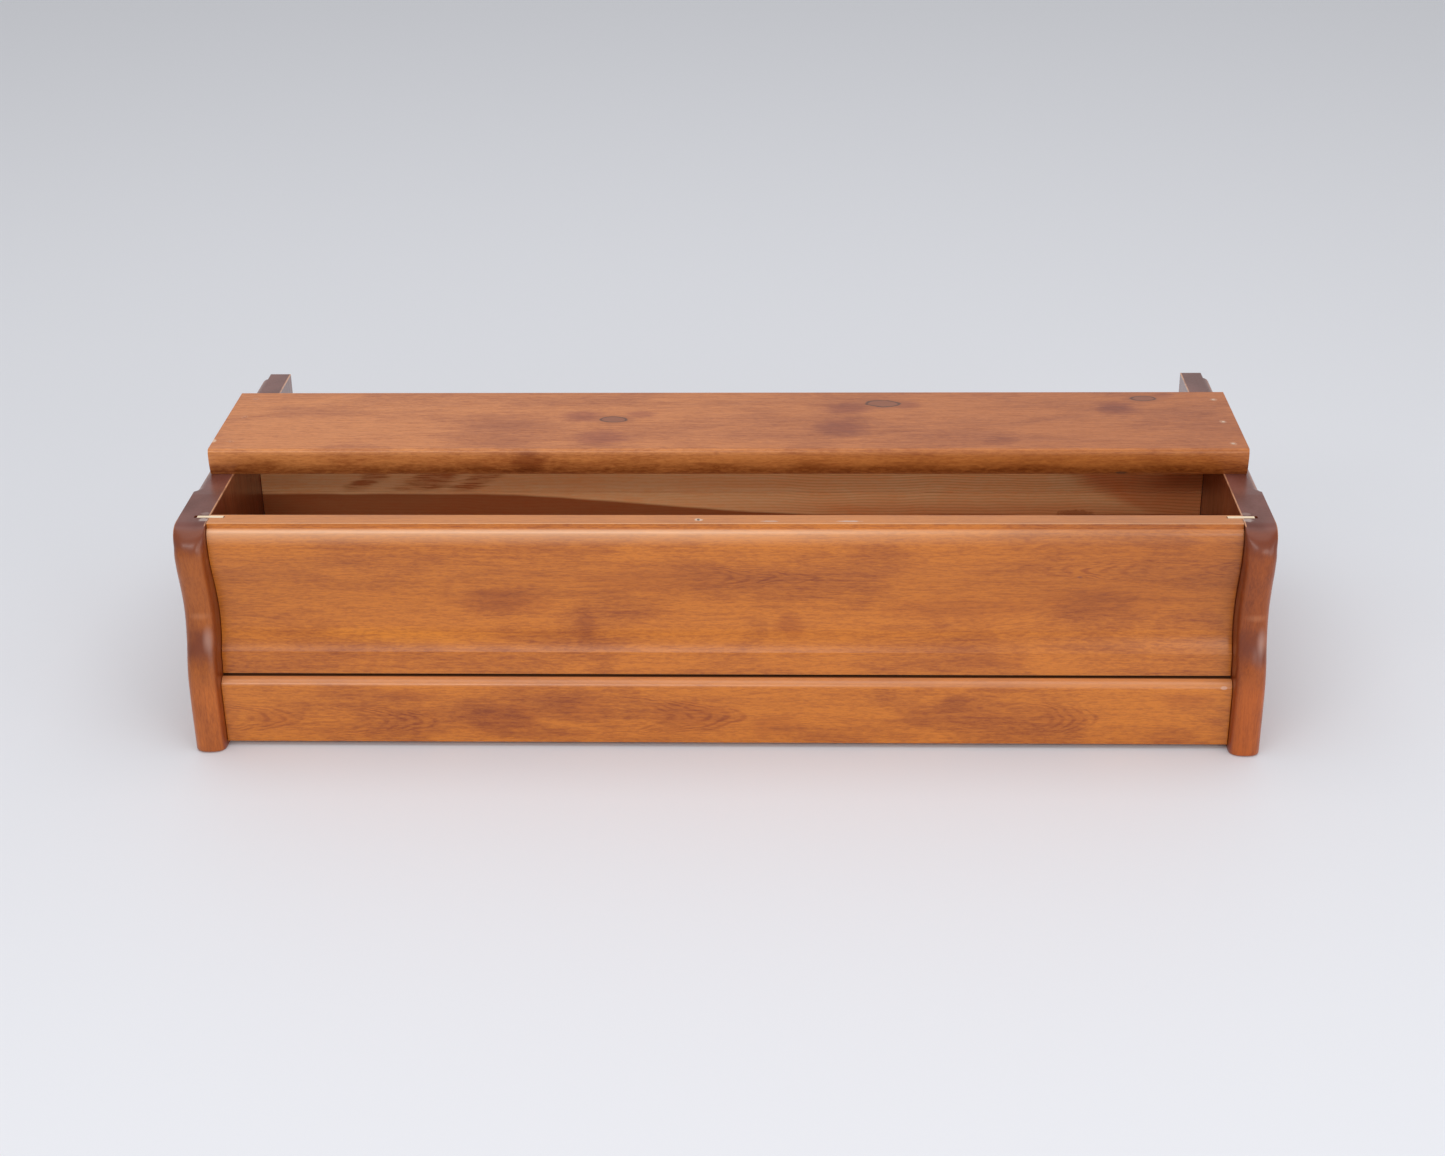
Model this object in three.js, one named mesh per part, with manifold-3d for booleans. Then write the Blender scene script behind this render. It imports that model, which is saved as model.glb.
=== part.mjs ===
// A low wooden storage bench: two S-curved sides joined by a moulded front panel, a flat lower
// board, a raw pine rear panel and a narrow top board, with a storage well between them.
// Units are millimetres, +X runs along the bench, +Z up, and the front faces -Y.
import * as THREE from "three";
import { mergeVertices } from "three/addons/utils/BufferGeometryUtils.js";
import Module from "manifold-3d";

const wasm = await Module();
wasm.setup();

// Overall sizes. Depths are counted from the frontmost point of the stiles.
const INNER_WIDTH = 900;
const SIDE_THICKNESS = 27;
const DEPTH = 396.5;
const SIDE_HEIGHT = 214.25;
const GLUE_GAP = 0.3;

// Sides: a curved front stile and a plain panel edge-glued behind it.
const STILE_BACK = 92;
const STILE_NOSE_DEPTH = 11;
const STILE_NOSE_SQUARENESS = 2.5;
const STILE_TOP_RADIUS = 27;
const STILE_TOP_FRONT = 7.2;
const FOOT_ROUND = 3;
const SHOULDER_RADIUS = 8;
const SHOULDER_START = 97;
const SHOULDER_BIT_RADIUS = 6;
const REAR_REBATE_START = 382.5;
const REAR_REBATE_DEPTH = 6.5;

// Front panel, moulded to a shallow S with a flat back.
const PANEL_BACK = 48.3;
const PANEL_TOP_FRONT = 30.1;
const PANEL_BOTTOM = 67.75;
const PANEL_STEP_HEIGHT = 5;
const PANEL_CREASE = { depth: 29, height: 87.5 };
const PANEL_FOOT_DEPTH = 26;

// Flat lower board under the front panel.
const LOWER_FRONT = 14.6;
const LOWER_THICKNESS = 20;
const LOWER_BOTTOM = 4.75;
const LOWER_TOP = 67;
const LOWER_ROUND = 9;

// Top board across the sides.
const TOP_LENGTH = 942;
const TOP_FRONT = 136;
const TOP_BACK = 278.6;
const TOP_THICKNESS = 25;
const TOP_NOSE_SET_BACK = 3;

// Rear panel, three edge-glued staves.
const REAR_FRONT = 231;
const REAR_THICKNESS = 18;
const STAVE_HEIGHT = 58.5;
const STAVES = [
  { word: "bottom", joint: "rear_panel_low" },
  { word: "middle" },
  { word: "top", joint: "rear_panel_top" },
];

// Bottom panel on battens.
const BOTTOM_THICKNESS = 8;
const BOTTOM_TOP = 66;
const BATTEN = 18;

// Biscuits: flat beech lozenges glued in slots that a round cutter leaves.
const CUTTER_RADIUS = 50;
const BISCUIT_THICKNESS = 4;
const LARGE_BISCUIT = { length: 56, width: 23, slotDepth: 13.3, shift: 0.9 };
const SMALL_BISCUIT = { length: 47, width: 15, slotDepth: 8.3, shift: 0 };
const PANEL_BISCUIT_DEPTH = 44;

// Fasteners.
const NAIL = { radius: 1, headRadius: 1.6, headHeight: 1.2, length: 45 };
const NAIL_ROWS = [
  { word: "right", side: 1, inset: 8.4, depths: [150, 203, 259] },
  { word: "left", side: -1, inset: 4.4, depths: [156, 216.5, 264] },
];
const SCREW = { radius: 1.6, headRadius: 3.5, headHeight: 2.4, length: 30 };

const halfWidth = INNER_WIDTH / 2;
const rearBottom = SIDE_HEIGHT - STAVES.length * STAVE_HEIGHT;
const battenTop = BOTTOM_TOP - BOTTOM_THICKNESS;
const battenMiddle = battenTop - BATTEN / 2;
const rearMiddle = REAR_FRONT + REAR_THICKNESS / 2;
const lowerMiddle = LOWER_FRONT + LOWER_THICKNESS / 2;

const FINISH = {
  stained: { color: 0xb86a35, roughness: 0.42, metalness: 0 },
  sideStain: { color: 0x6e3b2a, roughness: 0.4, metalness: 0 },
  pine: { color: 0xdcb583, roughness: 0.7, metalness: 0 },
  beech: { color: 0xe9d3ae, roughness: 0.75, metalness: 0 },
  plywood: { color: 0xcfa978, roughness: 0.7, metalness: 0 },
  steel: { color: 0xb9b4aa, roughness: 0.35, metalness: 0.9 },
};

// ---- solids ----------------------------------------------------------------------------------

function toSolid(geometry) {
  const bare = geometry.clone();
  bare.deleteAttribute("normal");
  bare.deleteAttribute("uv");
  const merged = mergeVertices(bare, 1e-4);
  return new wasm.Manifold(
    new wasm.Mesh({
      numProp: 3,
      vertProperties: merged.attributes.position.array,
      triVerts: new Uint32Array(merged.index.array),
    }),
  );
}

function toGeometry(solid) {
  const mesh = solid.getMesh();
  const geometry = new THREE.BufferGeometry();
  geometry.setAttribute("position", new THREE.BufferAttribute(mesh.vertProperties, 3));
  geometry.setIndex(new THREE.BufferAttribute(mesh.triVerts, 1));
  geometry.computeVertexNormals();
  return geometry;
}

const cut = (geometry, cutters) =>
  toGeometry(cutters.reduce((solid, cutter) => solid.subtract(toSolid(cutter)), toSolid(geometry)));

// Box from lowest and highest corner.
function block([x0, y0, z0], [x1, y1, z1]) {
  const geometry = new THREE.BoxGeometry(x1 - x0, y1 - y0, z1 - z0);
  return geometry.translate((x0 + x1) / 2, (y0 + y1) / 2, (z0 + z1) / 2);
}

const X = new THREE.Vector3(1, 0, 0);
const Y = new THREE.Vector3(0, 1, 0);
const Z = new THREE.Vector3(0, 0, 1);

// A side view in depth and height, carried along X.
function carryAlongX(shape, x0, x1, curveSegments = 12) {
  const options = { depth: x1 - x0, bevelEnabled: false, curveSegments };
  const geometry = new THREE.ExtrudeGeometry(shape, options);
  return geometry.applyMatrix4(new THREE.Matrix4().makeBasis(Y, Z, X)).translate(x0, 0, 0);
}

// A front view in X and height, carried along the depth.
function carryAlongY(shape, y0, y1, curveSegments = 10) {
  const options = { depth: y1 - y0, bevelEnabled: false, curveSegments };
  const geometry = new THREE.ExtrudeGeometry(shape, options);
  const turned = new THREE.Matrix4().makeBasis(X, Z, Y.clone().negate());
  return geometry.applyMatrix4(turned).translate(0, y1, 0);
}

// ---- sides -----------------------------------------------------------------------------------

// Front line of the stile in (depth, height), from the foot up to the flat top.
function stileFrontLine() {
  const wave = new THREE.SplineCurve(
    [
      [0.2, 10],
      [0, 43],
      [0.9, 69],
      [4.6, 87],
      [11.6, 106],
      [15.5, 123],
      [16, 139],
      [12.8, 158],
      [9, 174],
      [STILE_TOP_FRONT, SIDE_HEIGHT - STILE_TOP_RADIUS],
    ].map(([depth, height]) => new THREE.Vector2(depth, height)),
  ).getPoints(42);
  const foot = new THREE.Path();
  foot.absarc(0.2 + FOOT_ROUND, FOOT_ROUND, FOOT_ROUND, 1.5 * Math.PI, Math.PI, true);
  const crown = new THREE.Path();
  const crownDepth = STILE_TOP_FRONT + STILE_TOP_RADIUS;
  crown.absarc(
    crownDepth, SIDE_HEIGHT - STILE_TOP_RADIUS, STILE_TOP_RADIUS, Math.PI, 0.5 * Math.PI, true,
  );
  return [...foot.getPoints(3), ...wave, ...crown.getPoints(12).slice(1)];
}

// The rounded nose fades out over the crown, so that the flat top keeps sharp edges.
function noseDepthAt(point) {
  const fadeStart = SIDE_HEIGHT - STILE_TOP_RADIUS * 0.6;
  const fade = THREE.MathUtils.smoothstep(point.y, fadeStart, SIDE_HEIGHT);
  return STILE_NOSE_DEPTH * (1 - fade);
}

// Inward direction at each point of the front line: straight back over the foot's small round.
function inwardNormals(line) {
  return line.map((point, i) => {
    if (point.y <= FOOT_ROUND) return new THREE.Vector2(1, 0);
    const before = line[Math.max(i - 1, 0)];
    const after = line[Math.min(i + 1, line.length - 1)];
    const along = after.clone().sub(before).normalize();
    return new THREE.Vector2(along.y, -along.x);
  });
}

// One stile about x = 0: side views set back step by step towards the two faces.
function stileGeometry() {
  const line = stileFrontLine();
  const normals = inwardNormals(line);
  const steps = 14;
  const rings = [];
  for (let i = 0; i <= steps; i += 1) {
    const angle = (Math.PI * i) / steps;
    const side = Math.sign(Math.cos(angle)) * Math.abs(Math.cos(angle)) ** (2 / STILE_NOSE_SQUARENESS);
    const front = Math.sin(angle) ** (2 / STILE_NOSE_SQUARENESS);
    const x = (-side * SIDE_THICKNESS) / 2;
    const ring = line.map((point, j) => {
      const inset = noseDepthAt(point) * (1 - front);
      const moved = point.clone().addScaledVector(normals[j], inset);
      return new THREE.Vector3(x, moved.x, moved.y);
    });
    rings.push([
      ...ring,
      new THREE.Vector3(x, STILE_BACK, SIDE_HEIGHT),
      new THREE.Vector3(x, STILE_BACK, 0),
    ]);
  }
  return loft(rings);
}

// Closed body through rings of equal length, with flat first and last rings.
function loft(rings) {
  const count = rings[0].length;
  const outline = (ring) => ring.map((p) => new THREE.Vector2(p.y, p.z));
  const index = [];
  for (let i = 0; i + 1 < rings.length; i += 1) {
    for (let j = 0; j < count; j += 1) {
      const a = i * count + j;
      const b = i * count + ((j + 1) % count);
      index.push(a, a + count, b, b, a + count, b + count);
    }
  }
  const last = (rings.length - 1) * count;
  for (const [a, b, c] of THREE.ShapeUtils.triangulateShape(outline(rings[0]), [])) {
    index.push(a, c, b);
  }
  for (const [a, b, c] of THREE.ShapeUtils.triangulateShape(outline(rings.at(-1)), [])) {
    index.push(last + a, last + b, last + c);
  }
  const geometry = new THREE.BufferGeometry().setFromPoints(rings.flat());
  geometry.setIndex(index);
  return geometry;
}

// Plain panel behind the stile, for the right side: its outer top edge is rounded over between
// the shoulder, where the round bit leaves a curved run-out, and the rear rebate.
function sidePanelGeometry() {
  const outer = halfWidth + SIDE_THICKNESS;
  const board = block([halfWidth, STILE_BACK, 0], [outer, DEPTH, SIDE_HEIGHT]);
  const corner = new THREE.Shape();
  corner.moveTo(outer - SHOULDER_RADIUS, SIDE_HEIGHT);
  corner.absarc(
    outer - SHOULDER_RADIUS, SIDE_HEIGHT - SHOULDER_RADIUS, SHOULDER_RADIUS, 0.5 * Math.PI, 0, true,
  );
  corner.lineTo(outer + 5, SIDE_HEIGHT - SHOULDER_RADIUS);
  corner.lineTo(outer + 5, SIDE_HEIGHT + 5);
  corner.lineTo(outer - SHOULDER_RADIUS, SIDE_HEIGHT + 5);
  const bitReach = SHOULDER_BIT_RADIUS + SHOULDER_RADIUS;
  const bitDepth = SHOULDER_START + Math.sqrt(bitReach ** 2 - SHOULDER_BIT_RADIUS ** 2);
  const shoulder = carryAlongY(corner, bitDepth, DEPTH + 5);
  const flank = corner.getPoints(8).slice(0, 9);
  const bit = new THREE.LatheGeometry(
    [
      new THREE.Vector2(0, SIDE_HEIGHT - SHOULDER_RADIUS),
      ...flank.map((p) => new THREE.Vector2(outer + SHOULDER_BIT_RADIUS - p.x, p.y)).reverse(),
      new THREE.Vector2(bitReach, SIDE_HEIGHT + 5),
      new THREE.Vector2(0, SIDE_HEIGHT + 5),
    ],
    48,
  );
  bit.rotateX(Math.PI / 2).translate(outer + SHOULDER_BIT_RADIUS, bitDepth, 0);
  const rebate = block(
    [outer - REAR_REBATE_DEPTH, REAR_REBATE_START, -5],
    [outer + 5, DEPTH + 5, SIDE_HEIGHT + 5],
  );
  return { board, cutters: [shoulder, bit, rebate] };
}

// ---- long boards -----------------------------------------------------------------------------

function frontPanelShape() {
  const bead = SIDE_HEIGHT - PANEL_STEP_HEIGHT;
  const shape = new THREE.Shape();
  shape.moveTo(PANEL_BACK, SIDE_HEIGHT);
  shape.lineTo(PANEL_TOP_FRONT, SIDE_HEIGHT);
  shape.lineTo(PANEL_TOP_FRONT, bead);
  shape.lineTo(PANEL_TOP_FRONT - 1.2, bead - 0.3);
  shape.splineThru(
    [
      [27.2, 206.9],
      [25.8, 202.5],
      [25.1, 193],
      [26.4, 179],
      [29.9, 165],
      [34.4, 151],
      [37.9, 135],
      [38.9, 121],
      [37.2, 107],
      [33.6, 96.5],
      [PANEL_CREASE.depth, PANEL_CREASE.height],
    ].map(([depth, height]) => new THREE.Vector2(depth, height)),
  );
  shape.lineTo(PANEL_FOOT_DEPTH, PANEL_BOTTOM);
  shape.lineTo(PANEL_BACK, PANEL_BOTTOM);
  return shape;
}

function lowerBoardShape() {
  const back = LOWER_FRONT + LOWER_THICKNESS;
  const shape = new THREE.Shape();
  shape.moveTo(LOWER_FRONT, LOWER_BOTTOM);
  shape.lineTo(back, LOWER_BOTTOM);
  shape.lineTo(back, LOWER_TOP);
  shape.lineTo(LOWER_FRONT + LOWER_ROUND, LOWER_TOP);
  shape.absarc(
    LOWER_FRONT + LOWER_ROUND, LOWER_TOP - LOWER_ROUND, LOWER_ROUND, 0.5 * Math.PI, Math.PI, false,
  );
  return shape;
}

// The top board's front edge is full above and drops back towards its underside.
function topBoardShape() {
  const top = SIDE_HEIGHT + TOP_THICKNESS;
  const shape = new THREE.Shape();
  shape.moveTo(TOP_BACK, SIDE_HEIGHT);
  shape.lineTo(TOP_BACK, top);
  shape.lineTo(TOP_FRONT + 3.6, top);
  shape.quadraticCurveTo(TOP_FRONT + 0.8, top, TOP_FRONT, top - 4.5);
  shape.bezierCurveTo(
    TOP_FRONT - 0.6, top - 11, TOP_FRONT + 0.3, SIDE_HEIGHT + 4,
    TOP_FRONT + TOP_NOSE_SET_BACK, SIDE_HEIGHT,
  );
  return shape;
}

// ---- joints and fasteners --------------------------------------------------------------------

// Each biscuit stands upright across the joint between a side's inner face and a board's end.
// A shifted one sits deeper in the board than in the side, and a trimmed one is cut off flush.
const biscuitJoints = [
  {
    name: "front_panel_top_biscuit",
    size: LARGE_BISCUIT,
    depth: PANEL_BISCUIT_DEPTH,
    height: SIDE_HEIGHT,
    trimmed: true,
  },
  {
    name: "front_panel_low_biscuit",
    size: LARGE_BISCUIT,
    depth: PANEL_BISCUIT_DEPTH,
    height: 105,
  },
  { name: "lower_board_biscuit", size: SMALL_BISCUIT, depth: lowerMiddle, height: 36 },
  { name: "rear_panel_top_biscuit", size: SMALL_BISCUIT, depth: rearMiddle, height: 185 },
  { name: "rear_panel_low_biscuit", size: SMALL_BISCUIT, depth: rearMiddle, height: 68 },
];

// The lozenge's two long sides are arcs of the cutter's radius through its tips.
function biscuitShape({ length, width }, trim) {
  const shape = new THREE.Shape();
  const reach = (height) => {
    const t = Math.min(Math.abs(height) / (length / 2), 1);
    return (width / 2) * (1 - t * t);
  };
  const low = -length / 2;
  const high = trim ? 0 : length / 2;
  const steps = 12;
  const heights = Array.from({ length: steps + 1 }, (_, i) => low + ((high - low) * i) / steps);
  const right = heights.map((h) => new THREE.Vector2(reach(h), h));
  const left = heights.map((h) => new THREE.Vector2(-reach(h), h)).reverse();
  const tips = trim ? left.slice(0, -1) : left.slice(1, -1);
  shape.setFromPoints([...right, ...tips]);
  return shape;
}

// Slots for one joint on the right: a disc from each side of the joint plane.
function slotCutter({ size, depth, height }, towards) {
  const thickness = BISCUIT_THICKNESS + 2 * GLUE_GAP;
  const disc = new THREE.CylinderGeometry(CUTTER_RADIUS, CUTTER_RADIUS, thickness, 64);
  return disc.translate(halfWidth - towards * (CUTTER_RADIUS - size.slotDepth), depth, height);
}

function biscuitGeometry(joint) {
  const half = BISCUIT_THICKNESS / 2;
  const flat = biscuitShape(joint.size, joint.trimmed);
  const body = carryAlongY(flat, joint.depth - half, joint.depth + half);
  return body.translate(halfWidth - joint.size.shift, 0, joint.height);
}

// Lathed fastener with its head's top at the origin and its point along -Z.
function fastenerGeometry({ radius, headRadius, headHeight, length }, sides) {
  const profile = [
    [0, -length],
    [radius * 0.6, -length + radius * 3],
    [radius, -length + radius * 4],
    [radius, -headHeight],
    [headRadius, 0],
    [0, 0],
  ].map(([r, z]) => new THREE.Vector2(r, z));
  return new THREE.LatheGeometry(profile, sides).rotateX(Math.PI / 2);
}

function fastenerHole({ radius, headRadius, headHeight, length }, sides) {
  const profile = [
    [0, -length - GLUE_GAP],
    [radius + GLUE_GAP, -length - GLUE_GAP],
    [radius + GLUE_GAP, -headHeight],
    [headRadius + GLUE_GAP, 0],
    [headRadius + GLUE_GAP, 1],
    [0, 1],
  ].map(([r, z]) => new THREE.Vector2(r, z));
  return new THREE.LatheGeometry(profile, sides).rotateX(Math.PI / 2);
}

// Nails through the top board into the side panels.
const topNails = NAIL_ROWS.flatMap(({ word, side, inset, depths }) =>
  depths.map((depth, i) => ({
    name: `top_board_nail_${word}_${i + 1}`,
    side,
    place: (geometry) =>
      geometry.translate(side * (halfWidth + inset), depth, SIDE_HEIGHT + TOP_THICKNESS),
  })),
);

// Screws through the battens into the boards around them: heads face the well.
const frontBattenBack = LOWER_FRONT + LOWER_THICKNESS + BATTEN;
const rearBattenFront = REAR_FRONT - BATTEN;
const battenScrews = [
  ...[-300, 0, 300].map((x, i) => ({
    name: `front_batten_screw_${i + 1}`,
    batten: "front",
    place: (geometry) => geometry.rotateX(-Math.PI / 2).translate(x, frontBattenBack, battenMiddle),
  })),
  ...[-300, 0, 300].map((x, i) => ({
    name: `rear_batten_screw_${i + 1}`,
    batten: "rear",
    place: (geometry) => geometry.rotateX(Math.PI / 2).translate(x, rearBattenFront, battenMiddle),
  })),
  ...[1, -1].flatMap((side) =>
    [115, 190].map((depth, i) => ({
      name: `${side > 0 ? "right" : "left"}_batten_screw_${i + 1}`,
      batten: side > 0 ? "right" : "left",
      place: (geometry) =>
        geometry
          .rotateY((-side * Math.PI) / 2)
          .translate(side * (halfWidth - BATTEN), depth, battenMiddle),
    })),
  ),
];

// ---- assembly --------------------------------------------------------------------------------

const bench = new THREE.Group();
const pieces = new THREE.Group();
pieces.position.y = -DEPTH / 2;
bench.add(pieces);

function add(name, geometry, finish) {
  const mesh = new THREE.Mesh(geometry, new THREE.MeshStandardMaterial(FINISH[finish]));
  mesh.name = name;
  pieces.add(mesh);
}

// The mirror image in the plane x = 0, with its faces turned back outwards.
function mirrored(geometry) {
  const copy = geometry.clone().scale(-1, 1, 1);
  const inOrder = [...Array(copy.attributes.position.count).keys()];
  const index = copy.index ? copy.index.array : inOrder;
  const turned = [];
  for (let i = 0; i < index.length; i += 3) {
    turned.push(index[i], index[i + 2], index[i + 1]);
  }
  copy.setIndex(turned);
  copy.deleteAttribute("normal");
  return copy;
}

const onSide = (side, geometry) => (side > 0 ? geometry : mirrored(geometry));
const holesOf = (fasteners, size, sides) =>
  fasteners.map((fastener) => fastener.place(fastenerHole(size, sides)));
const screwHoles = (batten) =>
  holesOf(battenScrews.filter((screw) => screw.batten === batten), SCREW, 12);

for (const [side, word] of [[1, "right"], [-1, "left"]]) {
  const slots = (names) =>
    biscuitJoints
      .filter((joint) => names.some((name) => joint.name.startsWith(name)))
      .map((joint) => onSide(side, slotCutter(joint, 1)));
  const stile = stileGeometry().translate(halfWidth + SIDE_THICKNESS / 2, 0, 0);
  add(
    `${word}_front_stile`,
    cut(onSide(side, stile), slots(["front_panel", "lower_board"])),
    "sideStain",
  );

  const panel = sidePanelGeometry();
  const sideNails = topNails.filter((nail) => nail.side === side);
  add(
    `${word}_side_panel`,
    cut(onSide(side, panel.board), [
      ...panel.cutters.map((cutter) => onSide(side, cutter)),
      ...slots(["rear_panel"]),
      ...holesOf(sideNails, NAIL, 10),
      ...screwHoles(word),
    ]),
    "sideStain",
  );
  for (const joint of biscuitJoints) {
    add(`${joint.name}_${word}`, onSide(side, biscuitGeometry(joint)), "beech");
  }
}

// Boards between the sides stop a glue line short of each side.
const boardEnd = halfWidth - GLUE_GAP;
const endSlots = (prefix) =>
  biscuitJoints
    .filter((joint) => joint.name.startsWith(prefix))
    .flatMap((joint) => [slotCutter(joint, -1), mirrored(slotCutter(joint, -1))]);

add(
  "front_panel",
  cut(carryAlongX(frontPanelShape(), -boardEnd, boardEnd, 5), endSlots("front_panel")),
  "stained",
);
add(
  "lower_front_board",
  cut(carryAlongX(lowerBoardShape(), -boardEnd, boardEnd, 8), [
    ...endSlots("lower_board"),
    ...screwHoles("front"),
  ]),
  "stained",
);
const topBoard = carryAlongX(topBoardShape(), -TOP_LENGTH / 2, TOP_LENGTH / 2, 10);
add("top_board", cut(topBoard, holesOf(topNails, NAIL, 10)), "stained");

const rearBack = REAR_FRONT + REAR_THICKNESS;
STAVES.forEach(({ word, joint }, i) => {
  const bottom = rearBottom + i * STAVE_HEIGHT + (i > 0 ? GLUE_GAP : 0);
  const top = rearBottom + (i + 1) * STAVE_HEIGHT - (word === "top" ? GLUE_GAP : 0);
  const stave = block([-boardEnd, REAR_FRONT, bottom], [boardEnd, rearBack, top]);
  const cutters = joint ? endSlots(joint) : [];
  if (word === "bottom") cutters.push(...screwHoles("rear"));
  add(`rear_panel_${word}_stave`, cut(stave, cutters), "pine");
});

const bottomFront = LOWER_FRONT + LOWER_THICKNESS + GLUE_GAP;
const bottomBack = REAR_FRONT - GLUE_GAP;
add(
  "bottom_panel",
  block([-boardEnd, bottomFront, battenTop + GLUE_GAP], [boardEnd, bottomBack, BOTTOM_TOP]),
  "plywood",
);

const battenBoxes = {
  front: [[-boardEnd, bottomFront], [boardEnd, frontBattenBack]],
  rear: [[-boardEnd, rearBattenFront], [boardEnd, bottomBack]],
  right: [
    [halfWidth - BATTEN, frontBattenBack + GLUE_GAP],
    [boardEnd, rearBattenFront - GLUE_GAP],
  ],
};
battenBoxes.left = battenBoxes.right.map(([x, y]) => [-x, y]);
for (const [word, [[x0, y0], [x1, y1]]] of Object.entries(battenBoxes)) {
  const low = [Math.min(x0, x1), y0, battenTop - BATTEN];
  const high = [Math.max(x0, x1), y1, battenTop];
  add(`${word}_batten`, cut(block(low, high), screwHoles(word)), "pine");
}

for (const nail of topNails) {
  add(nail.name, nail.place(fastenerGeometry(NAIL, 10)), "steel");
}
for (const screw of battenScrews) {
  add(screw.name, screw.place(fastenerGeometry(SCREW, 12)), "steel");
}

export default bench;
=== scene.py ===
"""Looks of the low wooden storage bench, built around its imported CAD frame."""

import math

import bmesh
import bpy
from mathutils import Matrix, Vector


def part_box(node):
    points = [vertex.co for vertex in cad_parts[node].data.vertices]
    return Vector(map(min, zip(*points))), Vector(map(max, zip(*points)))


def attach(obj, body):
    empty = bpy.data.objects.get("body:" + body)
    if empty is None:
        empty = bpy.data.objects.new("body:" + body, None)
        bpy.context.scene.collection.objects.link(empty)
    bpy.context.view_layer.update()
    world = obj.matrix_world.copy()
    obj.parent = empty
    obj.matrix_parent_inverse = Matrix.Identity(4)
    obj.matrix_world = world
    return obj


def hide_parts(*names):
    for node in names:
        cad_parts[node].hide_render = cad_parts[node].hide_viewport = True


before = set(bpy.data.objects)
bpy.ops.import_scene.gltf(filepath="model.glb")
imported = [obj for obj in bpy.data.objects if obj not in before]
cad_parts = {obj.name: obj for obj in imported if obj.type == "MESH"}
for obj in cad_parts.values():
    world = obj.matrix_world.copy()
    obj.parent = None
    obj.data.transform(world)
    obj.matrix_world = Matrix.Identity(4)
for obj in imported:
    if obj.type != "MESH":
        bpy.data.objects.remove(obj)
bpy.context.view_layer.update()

# ---- camera ----------------------------------------------------------------------------------

CAMERA_PLACE = Vector((0.0663, -1.9433, 1.02175))
CAMERA_YAW = math.radians(2.127)
CAMERA_PITCH = math.radians(25.83)
CAMERA_ROLL = math.radians(-0.842)
CAMERA_LENS_MM = 56.16
CAMERA_SENSOR_MM = 36.0


def make_camera():
    """Stands at CAMERA_PLACE and looks along +Y, turned left by the yaw and down by the pitch."""
    data = bpy.data.cameras.new("camera")
    data.lens = CAMERA_LENS_MM
    data.sensor_width = CAMERA_SENSOR_MM
    data.clip_start = 0.05
    camera = bpy.data.objects.new("camera", data)
    bpy.context.scene.collection.objects.link(camera)
    turn = (
        Matrix.Rotation(CAMERA_YAW, 4, "Z")
        @ Matrix.Rotation(math.pi / 2 - CAMERA_PITCH, 4, "X")
        @ Matrix.Rotation(CAMERA_ROLL, 4, "Z")
    )
    camera.matrix_world = Matrix.Translation(CAMERA_PLACE) @ turn
    bpy.context.scene.camera = camera


# ---- node materials --------------------------------------------------------------------------


# A Mix node has a socket for each kind of data under the same names; these are the colours'.
MIX_FACTOR, MIX_A, MIX_B, MIX_RESULT = 0, 6, 7, 2


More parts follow.
